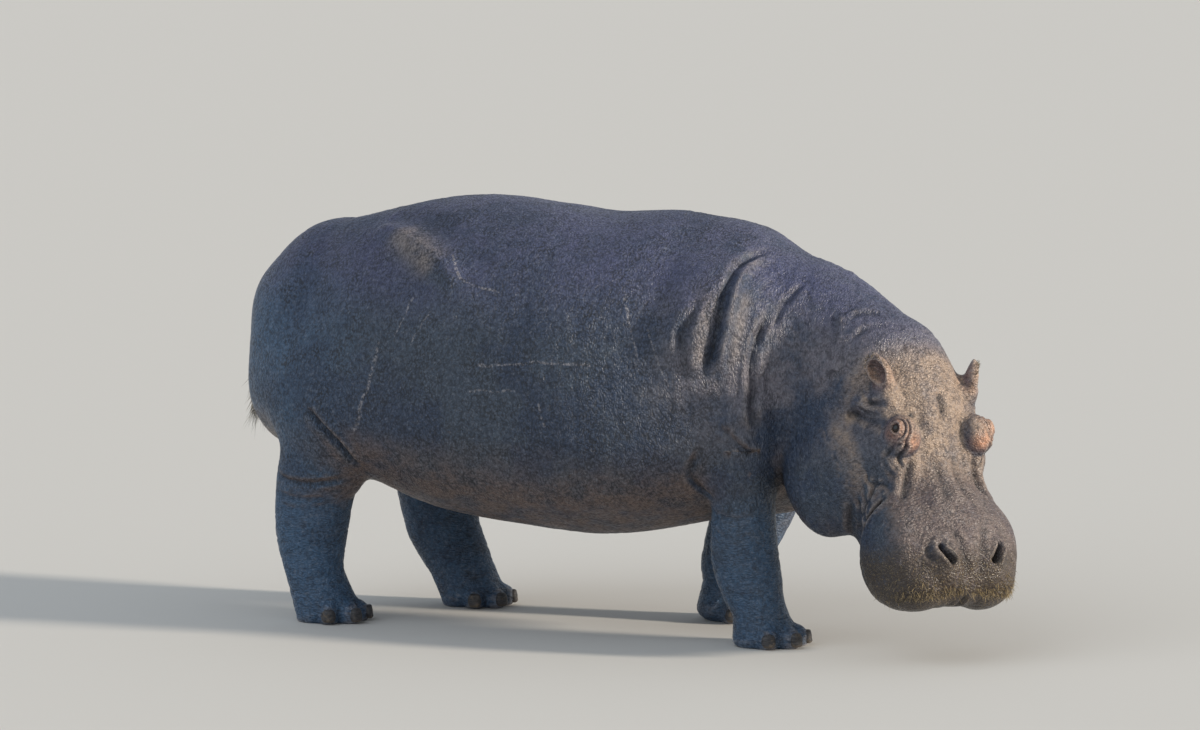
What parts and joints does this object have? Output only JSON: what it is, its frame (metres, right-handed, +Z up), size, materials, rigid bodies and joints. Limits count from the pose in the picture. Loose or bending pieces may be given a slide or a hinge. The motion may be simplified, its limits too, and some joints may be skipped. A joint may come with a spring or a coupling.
{
  "type": "hippopotamus",
  "caption": "Life-size standing hippopotamus, its head lowered and turned to its right, with folded grey-brown hide, short legs and a small bristly tail.",
  "frame": {"origin": "at the floor, under the middle of the whole animal's box", "axes": "+X towards the chest, along the trunk; +Y to the animal's left; +Z up"},
  "size_m": [2.9878, 1.2278, 1.5105],
  "materials": {
    "hide": "thick, finely wrinkled bare hide, slate grey to purplish brown, pinker at folds",
    "eye": "wet dark brown eye",
    "nail": "worn, dusty dark horn",
    "hair": "stiff dark bristles at the lips, ears and tail tip"
  },
  "bodies": {
    "root": {"trunk": "hide", "neck": "hide", "tail": "hide", "eye_left": "eye", "ear_left": "hide", "eye_right": "eye", "ear_right": "hide", "jaw": "hide", "head": "hide", "foreleg_right": "hide", "forefoot_right": "hide", "nail_forefoot_right_1": "nail", "nail_forefoot_right_2": "nail", "nail_forefoot_right_3": "nail", "nail_forefoot_right_4": "nail", "foreleg_left": "hide", "forefoot_left": "hide", "nail_forefoot_left_1": "nail", "nail_forefoot_left_2": "nail", "nail_forefoot_left_3": "nail", "nail_forefoot_left_4": "nail", "hindleg_right": "hide", "hindfoot_right": "hide", "nail_hindfoot_right_1": "nail", "nail_hindfoot_right_2": "nail", "nail_hindfoot_right_3": "nail", "nail_hindfoot_right_4": "nail", "hindleg_left": "hide", "hindfoot_left": "hide", "nail_hindfoot_left_1": "nail", "nail_hindfoot_left_2": "nail", "nail_hindfoot_left_3": "nail", "nail_hindfoot_left_4": "nail"}
  },
  "joints": []
}
